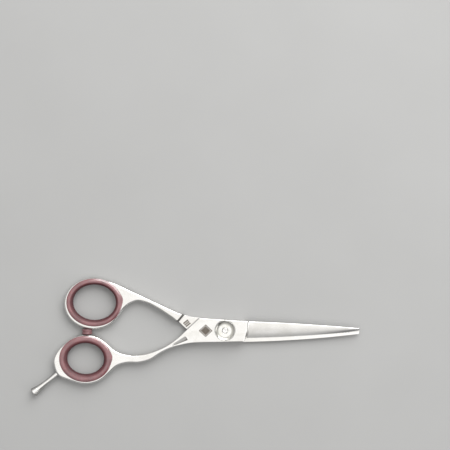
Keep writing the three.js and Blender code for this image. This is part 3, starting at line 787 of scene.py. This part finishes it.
bushing = plain_ring("bushing_visual", "pivot_bushing", 2.08, 0.09)
washer = plain_ring("washer_visual", "blade_washer", 2.08, 0.07)
low, high = box("dial_wave_spring")
z0, z1, r1 = low[2], high[2], high[0]
spring_rings = []
for i in range(216):
    a = 2 * math.pi * i / 216
    z = z0 + (z1 - z0 - 0.22) / 2 * (1 + math.cos(3 * a))
    spring_rings.append([(r * math.cos(a), r * math.sin(a), z + h) for r, h in
                         fillet([(2.4, 0), (r1, 0), (r1, 0.22), (2.4, 0.22)], 0.06, 2, True)])
spring = sweep("wave_spring_visual", spring_rings)


# ---------- materials ----------
class Graph:
    """A material and the nodes that make it. Coordinates are millimetres."""

    def __init__(self, name):
        self.material = bpy.data.materials.new(name)
        self.material.use_nodes = True
        self.tree = self.material.node_tree
        self.shader = self.tree.nodes["Principled BSDF"]
        self.coords = self.node("TexCoord")
        metres = self.coords.outputs["Object"]
        self.mm = self.node("VectorMath", {0: metres, "Scale": 1000.0}, operation="SCALE").outputs[0]
        split = self.node("SeparateXYZ", {0: self.mm})
        self.x, self.y, self.z = split.outputs
        self.east, self.north, self.up = self.node("SeparateXYZ", {0: self.coords.outputs["Normal"]}).outputs

    def node(self, kind, values=None, **settings):
        made = self.tree.nodes.new("ShaderNode" + kind)
        for key, value in settings.items():
            setattr(made, key, value)
        self.fill(made, values or {})
        return made

    def fill(self, node, values):
        for key, value in values.items():
            if isinstance(value, bpy.types.NodeSocket):
                self.tree.links.new(value, node.inputs[key])
            else:
                node.inputs[key].default_value = value

    def set(self, **values):
        self.fill(self.shader, {key.replace("_", " "): value for key, value in values.items()})

    def math(self, operation, *values):
        return self.node("Math", dict(enumerate(values)), operation=operation).outputs[0]

    def plus(self, a, b):
        return self.math("ADD", a, b)

    def times(self, a, b):
        return self.math("MULTIPLY", a, b)

    def scaled(self, sx, sy, sz):
        """Coordinates for a noise that is drawn out along the axes with small factors."""
        return self.node("Mapping", {"Vector": self.mm, "Scale": (sx, sy, sz)}).outputs[0]

    def noise(self, where, scale=1.0, detail=2.0, rough=0.5, spread=0.0):
        return self.node("TexNoise", {"Vector": where, "Scale": scale, "Detail": detail, "Roughness": rough,
                                      "Distortion": spread}).outputs[0]

    def span(self, value, a, b, lo=0.0, hi=1.0):
        """A smooth ramp from lo, where value is a, to hi, where it is b."""
        values = {0: value, 1: a, 2: b, 3: lo, 4: hi}
        return self.node("MapRange", values, interpolation_type="SMOOTHSTEP").outputs[0]

    def mix(self, share, a, b):
        made = self.node("Mix", {0: share}, data_type="RGBA")
        for socket, value in ((made.inputs[6], a), (made.inputs[7], b)):
            if isinstance(value, bpy.types.NodeSocket):
                self.tree.links.new(value, socket)
            else:
                socket.default_value = (*value, 1)
        return made.outputs[2]

    def crevice(self, reach, own=True):
        """1 in the open, falling to 0 deep in a corner of the same piece, or close beside any piece."""
        made = self.node("AmbientOcclusion", {"Distance": reach * MM}, samples=8, only_local=own)
        return made.outputs["AO"]

    def bump(self, height, microns):
        return self.node("Bump", {"Height": height, "Distance": microns * 1e-6, "Strength": 1.0}).outputs[0]


def polished(name, colour, rough, lines=0.3, ride=0, mark=None, step_shade_and_dull=None, sides=0.0):
    """Polished steel with faint lines from the wheel, fingermarks, bright worn edges, and painted shade in
    corners and beside other pieces. ride says which way the inner face looks, mark is a pattern etched into
    the front, step_shade_and_dull is the line of a step whose wall gets painted shade and a rougher finish,
    and sides is how far the sides are darkened with a painted dark reflection."""
    g = Graph(name)
    along = g.noise(g.scaled(0.09, 4.5, 4.5), detail=3, rough=0.65)
    smear = g.noise(g.scaled(0.11, 0.17, 0.17), detail=4, rough=0.6, spread=0.6)
    fine = g.noise(g.scaled(0.9, 0.9, 0.9), detail=3)
    worn = g.span(g.node("NewGeometry").outputs["Pointiness"], 0.5, 0.57)
    tone = g.mix(g.span(smear, 0.35, 0.68), colour, tuple(c * k for c, k in zip(colour, (0.93, 0.925, 0.91))))
    tone = g.mix(g.times(worn, 0.5), tone, (0.9, 0.895, 0.885))
    roughness = g.plus(rough - 0.05, g.times(along, 0.07))
    roughness = g.plus(roughness, g.times(g.span(smear, 0.45, 0.75), 0.07))
    roughness = g.plus(roughness, g.times(g.span(fine, 0.5, 0.8), 0.03))
    # Painted shade: darker, and a little rougher, in corners and close beside other pieces.
    beside = g.times(g.span(g.crevice(0.8, False), 0.86, 0.45), g.span(g.up, 0.3, 0.6))
    corner_shade = g.math("MAXIMUM", g.span(g.crevice(1.5), 0.88, 0.5), beside)
    tone = g.mix(g.times(corner_shade, 0.85), tone, (0.13, 0.125, 0.115))
    roughness = g.plus(roughness, g.times(corner_shade, 0.12))
    if sides:
        # Painted dark reflection: the sides are darkened, as far as sides says.
        tone = g.mix(g.times(g.span(g.math("ABSOLUTE", g.up), 0.85, 0.3), sides), tone, (0.16, 0.16, 0.145))
    if step_shade_and_dull:
        (px, py), (qx, qy) = step_shade_and_dull
        length = math.hypot(qx - px, qy - py)
        off = g.plus(g.times(g.plus(g.x, -px), (qy - py) / length),
                     g.times(g.plus(g.y, -py), (px - qx) / length))
        # Painted shade along the wall of the step, which is also made rougher.
        near = g.times(g.span(g.math("ABSOLUTE", g.plus(off, -0.3)), 1.0, 0.75), g.span(g.up, 0.94, 0.75))
        tone = g.mix(g.times(near, 0.8), tone, (0.12, 0.115, 0.105))
        roughness = g.plus(roughness, g.times(near, 0.25))
    height = g.times(along, lines)
    if ride:
        # Hollow-ground inner faces keep the grinding lines that run across the blade.
        ground = g.times(g.span(g.times(g.up, float(ride)), 0.7, 0.95), g.span(g.x, 10.0, 12.5))
        across = g.noise(g.scaled(7.5, 0.12, 0.5), detail=3, rough=0.7)
        roughness = g.plus(roughness, g.times(ground, g.plus(0.06, g.times(across, 0.14))))
        height = g.plus(height, g.times(ground, across))
    if mark:
        etched = mark(g)
        grain = g.noise(g.scaled(5, 5, 5), detail=4, rough=0.7)
        tone = g.mix(etched, tone, g.mix(grain, (0.1, 0.085, 0.07), (0.2, 0.175, 0.15)))
        roughness = g.plus(roughness, g.times(etched, 0.38))
        height = g.plus(height, g.times(etched, g.plus(-3.0, g.times(grain, 3.0))))
    g.set(Base_Color=tone, Metallic=1.0, Roughness=roughness, Normal=g.bump(height, 1.6))
    return g.material


def facing_front(g):
    """1 on faces that look straight to the front, 0 elsewhere."""
    return g.span(g.up, 0.9, 0.97)


def lozenge(g):
    """A plain etched lozenge with a lozenge-shaped line round it."""
    dx = g.math("ABSOLUTE", g.plus(g.x, 9.6))
    dy = g.math("ABSOLUTE", g.plus(g.y, 0.15))
    d = g.plus(g.math("DIVIDE", dx, 3.4), g.math("DIVIDE", dy, 3.1))
    core = g.span(d, 0.74, 0.76, 1.0, 0.0)
    line = g.times(g.span(d, 0.81, 0.83), g.span(d, 0.99, 1.02, 1.0, 0.0))
    worn = g.span(g.noise(g.scaled(1.7, 1.7, 1.7), detail=3), 0.3, 0.42, 0.55, 1.0)
    return g.times(g.times(g.math("MAXIMUM", core, line), worn), facing_front(g))


def tally(g):
    """Three short etched bars."""
    u = g.plus(g.times(g.plus(g.x, 18.95), 0.78), g.times(g.plus(g.y, -3.35), 0.62))
    v = g.plus(g.times(g.plus(g.x, 18.95), -0.62), g.times(g.plus(g.y, -3.35), 0.78))
    along = g.span(g.math("ABSOLUTE", u), 1.45, 1.5, 1.0, 0.0)
    across = g.span(g.math("ABSOLUTE", v), 1.35, 1.4, 1.0, 0.0)
    patch = g.times(along, across)
    bars = g.span(g.math("PINGPONG", g.plus(v, 0.48), 0.48), 0.13, 0.17)
    return g.times(g.times(patch, bars), facing_front(g))


def rubber(name, light, dark, rough, clear, hole=None):
    """Soft rubber, a little translucent, with a moulded grain, lighter and duller patches, and pale specks.
    The side that faces the middle of a hole is darkened with painted shade, and made rougher with less clear
    coat."""
    g = Graph(name)
    cloud = g.noise(g.scaled(0.16, 0.16, 0.16), detail=4, rough=0.55)
    grain = g.noise(g.scaled(3.2, 3.2, 3.2), detail=4, rough=0.6)
    speck = g.span(g.noise(g.scaled(1.4, 1.4, 1.4), detail=2), 0.68, 0.74)
    edge = g.node("LayerWeight", {"Blend": 0.35}).outputs["Facing"]
    tone = g.mix(g.span(cloud, 0.3, 0.7), dark, light)
    tone = g.mix(g.times(edge, 0.35), tone, tuple(c * 0.6 for c in dark))
    tone = g.mix(g.times(speck, 0.25), tone, tuple(min(1, c * 1.5) for c in light))
    roughness = g.plus(g.plus(rough, g.times(g.span(cloud, 0.45, 0.8), 0.1)), g.times(grain, 0.06))
    if hole is not None:
        toward = g.plus(g.times(g.plus(-float(hole[0]), g.x), g.east),
                        g.times(g.plus(-float(hole[1]), g.y), g.north))
        inner_side_shade = g.span(toward, -0.6, -5.0)
        # Painted shade on the side that faces the middle of the hole; that side is also rougher, with less
        # clear coat.
        tone = g.mix(g.times(inner_side_shade, 0.8), tone, tuple(c * 0.45 for c in dark))
        clear = g.times(g.span(inner_side_shade, 0.0, 0.6, 1.0, 0.0), clear)
        roughness = g.plus(roughness, g.times(inner_side_shade, 0.2))
    g.set(Base_Color=tone, Roughness=roughness, Specular_IOR_Level=0.5, Normal=g.bump(grain, 9),
          Subsurface_Weight=0.22, Subsurface_Radius=(1.0, 0.35, 0.3), Subsurface_Scale=0.0012,
          Coat_Weight=clear, Coat_Roughness=0.14, Coat_IOR=1.85)
    return g.material


def turned_metal(name, colour, rough, stain, shade_radius=None):
    """Machined metal: rings left by the lathe round the pivot, stained patches, and painted shade in its
    crevices.
    Outside shade_radius, if one is given, it is darkened with painted shade, to near black at the rim."""
    g = Graph(name)
    radius = g.math("SQRT", g.plus(g.times(g.x, g.x), g.times(g.y, g.y)))
    lathe = g.node("CombineXYZ", {0: g.times(radius, 9.0), 1: g.times(g.z, 9.0)})
    rings = g.noise(lathe.outputs[0], detail=2)
    patch = g.noise(g.scaled(0.6, 0.6, 0.6), detail=4, rough=0.6)
    worn = g.span(g.node("NewGeometry").outputs["Pointiness"], 0.5, 0.56)
    tone = g.mix(g.span(patch, 0.4, 0.7), colour, stain)
    if shade_radius:
        # Painted shade: darker outside shade_radius, and near black at the rim.
        tone = g.mix(g.span(radius, shade_radius - 0.5, shade_radius + 0.4), tone, tuple(c * 0.56 for c in stain))
        tone = g.mix(g.times(g.span(radius, shade_radius + 1.42, shade_radius + 1.6), 0.85), tone, (0.1, 0.098, 0.09))
    tone = g.mix(g.times(worn, 0.5), tone, tuple(min(1, c * 1.15) for c in colour))
    # Painted shade in the piece's own crevices.
    tone = g.mix(g.span(g.crevice(0.45), 0.85, 0.4, 0.0, 0.85), tone, (0.1, 0.095, 0.085))
    roughness = g.plus(rough, g.plus(g.times(rings, 0.1), g.times(g.span(patch, 0.4, 0.8), 0.1)))
    g.set(Base_Color=tone, Metallic=1.0, Roughness=roughness, Normal=g.bump(rings, 3))
    return g.material


def plastic(name):
    """Off-white sheet with a fine grain."""
    g = Graph(name)
    cloud = g.noise(g.scaled(0.5, 0.5, 0.5), detail=3)
    grain = g.noise(g.scaled(6, 6, 6), detail=3)
    tone = g.mix(g.span(cloud, 0.3, 0.7), (0.78, 0.76, 0.7), (0.7, 0.67, 0.6))
    g.set(Base_Color=tone, Roughness=g.plus(0.4, g.times(grain, 0.15)), Subsurface_Weight=0.1,
          Subsurface_Scale=0.0005, Normal=g.bump(grain, 4))
    return g.material


STEEL = (0.83, 0.82, 0.80)
finger_steel = polished("finger_half_steel", STEEL, 0.17, ride=-1, mark=lozenge)
# The thumb half gets painted shade along the wall of the step on its arm.
thumb_steel = polished("thumb_half_steel", STEEL, 0.17, ride=1, mark=tally,
                       step_shade_and_dull=((-20.4, 7.6), (-23.4, 4.05)))
# The rest's sides get a painted dark reflection.
rest_steel = polished("rest_steel", STEEL, 0.2, lines=0.2, sides=0.8)
# The dial's outer band and rim get painted shade.
dial_steel = turned_metal("dial_steel", (0.86, 0.855, 0.83), 0.13, (0.78, 0.77, 0.71), shade_radius=3.3)
bolt_steel = turned_metal("bolt_steel", (0.86, 0.855, 0.84), 0.18, (0.76, 0.75, 0.72))
plate_steel = turned_metal("hardened_steel", (0.5, 0.48, 0.45), 0.28, (0.32, 0.29, 0.26))
bronze = turned_metal("oiled_bronze", (0.62, 0.42, 0.2), 0.28, (0.4, 0.25, 0.12))
washer_plastic = plastic("slippery_plastic")
ROSE = ((0.22, 0.068, 0.075), (0.125, 0.03, 0.036), 0.28, 1.0)
finger_rubber = rubber("finger_insert_rubber", *ROSE, FINGER_C)
thumb_rubber = rubber("thumb_insert_rubber", *ROSE, THUMB_C)
bumper_rubber = rubber("bumper_rubber", (0.22, 0.10, 0.105), (0.15, 0.065, 0.07), 0.42, 0.2)

for piece, body, node, slot, finish in (
    (finger_half, "finger_side", "finger_half_plain_blade", "polished_steel", finger_steel),
    (thumb_half, "thumb_side", "thumb_half_comb_blade", "polished_steel", thumb_steel),
    (finger_insert, "finger_side", "finger_ring_insert", "rose_rubber", finger_rubber),
    (thumb_insert, "thumb_side", "thumb_ring_insert", "rose_rubber", thumb_rubber),
    (bumper, "thumb_side", "ring_bumper", "rose_rubber", bumper_rubber),
    (rest, "rest", "finger_rest", "polished_steel", rest_steel),
    (dial, "dial", "tension_dial", "polished_steel", dial_steel),
    (spring, "dial", "dial_wave_spring", "tool_steel", plate_steel),
    (bolt, "finger_side", "pivot_bolt", "tool_steel", bolt_steel),
    (bushing, "thumb_side", "pivot_bushing", "bronze", bronze),
    (washer, "thumb_side", "blade_washer", "low_friction_plastic", washer_plastic),
):
    piece.data.materials.clear()
    piece.data.materials.append(finish)
    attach(piece, body)
    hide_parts(node)

plate = bpy.data.objects["click_plate"]
for slot in plate.material_slots:
    slot.material = plate_steel
bevel = plate.modifiers.new("edges", "BEVEL")
bevel.width, bevel.segments, bevel.limit_method = 0.04 * MM, 2, "ANGLE"

# ---------- floor, light and camera ----------
FLOOR_HALF, FLOOR_Z = 3000, -0.02
corners = [(x * FLOOR_HALF, y * FLOOR_HALF, FLOOR_Z) for x, y in ((-1, -1), (1, -1), (1, 1), (-1, 1))]
floor = mesh_object("floor", corners, [(0, 1, 2, 3)])
g = Graph("pale_floor")
cloud = g.noise(g.scaled(0.02, 0.02, 0.02), detail=3)
g.set(Base_Color=g.mix(cloud, (0.34, 0.34, 0.336), (0.37, 0.37, 0.366)), Roughness=0.75,
      Normal=g.bump(g.noise(g.scaled(1.5, 1.5, 1.5), detail=3), 12))
floor.data.materials.append(g.material)

world = bpy.data.worlds.new("studio")
bpy.context.scene.world = world
world.use_nodes = True
tree = world.node_tree
sky = tree.nodes["Background"]
look = tree.nodes.new("ShaderNodeTexCoord")


def toward(direction):
    """How nearly the way looked is this direction: 1 straight at it, 0 square to it."""
    made = tree.nodes.new("ShaderNodeVectorMath")
    made.operation = "DOT_PRODUCT"
    made.inputs[1].default_value = Vector(direction).normalized()
    tree.links.new(look.outputs["Generated"], made.inputs[0])
    return made.outputs["Value"]


height = toward((0, 0.18, 0.98))
ramp = tree.nodes.new("ShaderNodeValToRGB")
tree.links.new(height, ramp.inputs[0])
# The sky's colours, each after its place: 0 is the horizon and all below it, 1 is nearly overhead.
stops = ((0.0, 0.24, 0.244, 0.25), (0.26, 0.3, 0.303, 0.307), (0.46, 0.58, 0.58, 0.58),
         (0.74, 1.1, 1.09, 1.08), (0.95, 1.42, 1.41, 1.39))
ramp.color_ramp.interpolation = "EASE"
while len(ramp.color_ramp.elements) < len(stops):
    ramp.color_ramp.elements.new(0.5)
for element, (at, *colour) in zip(ramp.color_ramp.elements, stops):
    element.position = at
    element.color = (*colour, 1)
tree.links.new(ramp.outputs[0], sky.inputs[0])
# A dark flag stands to one side, so that rounded steel shows a dark side.
facing = toward((0.5, -0.52, 0.66))
flag = tree.nodes.new("ShaderNodeMapRange")
flag.interpolation_type = "SMOOTHSTEP"
for socket, value in enumerate((0.93, 0.985, 0.85, 0.14), 1):
    flag.inputs[socket].default_value = value
tree.links.new(facing, flag.inputs[0])
tree.links.new(flag.outputs[0], sky.inputs[1])
# Seen directly, the studio's far wall is an even pale grey.
wall = tree.nodes.new("ShaderNodeBackground")
wall.inputs[0].default_value = (0.5, 0.5, 0.5, 1)
choose = tree.nodes.new("ShaderNodeMixShader")
tree.links.new(tree.nodes.new("ShaderNodeLightPath").outputs["Is Camera Ray"], choose.inputs[0])
tree.links.new(sky.outputs[0], choose.inputs[1])
tree.links.new(wall.outputs[0], choose.inputs[2])
tree.links.new(choose.outputs[0], tree.nodes["World Output"].inputs[0])

for name, at, size, power in (("key", (0.28, 0.68, 0.66), 0.85, 10.0), ("fill", (0.7, -0.3, 0.5), 0.5, 1.5)):
    light = bpy.data.lights.new(name, "AREA")
    light.energy, light.size = power, size
    lamp = bpy.data.objects.new(name, light)
    lamp.location = at
    lamp.rotation_euler = (-Vector(at)).to_track_quat("-Z", "Y").to_euler()
    bpy.context.scene.collection.objects.link(lamp)

# The camera looks straight down. The pivot sits on the frame's centre line, below the middle of the picture.
camera = bpy.data.objects.new("camera", bpy.data.cameras.new("camera"))
bpy.context.scene.collection.objects.link(camera)
bpy.context.scene.camera = camera
camera.data.lens, camera.data.sensor_width = 100, 36
camera.data.clip_end = 50
PICTURE_WIDTH, PIVOT_BELOW = 223.92, 52.25  # what the picture spans, and from its middle down to the pivot
width = PICTURE_WIDTH * MM
distance = width * camera.data.lens / camera.data.sensor_width
camera.location = (0, PIVOT_BELOW * MM, FULL / 2 * MM + distance)
bpy.context.scene.view_settings.view_transform = "Standard"
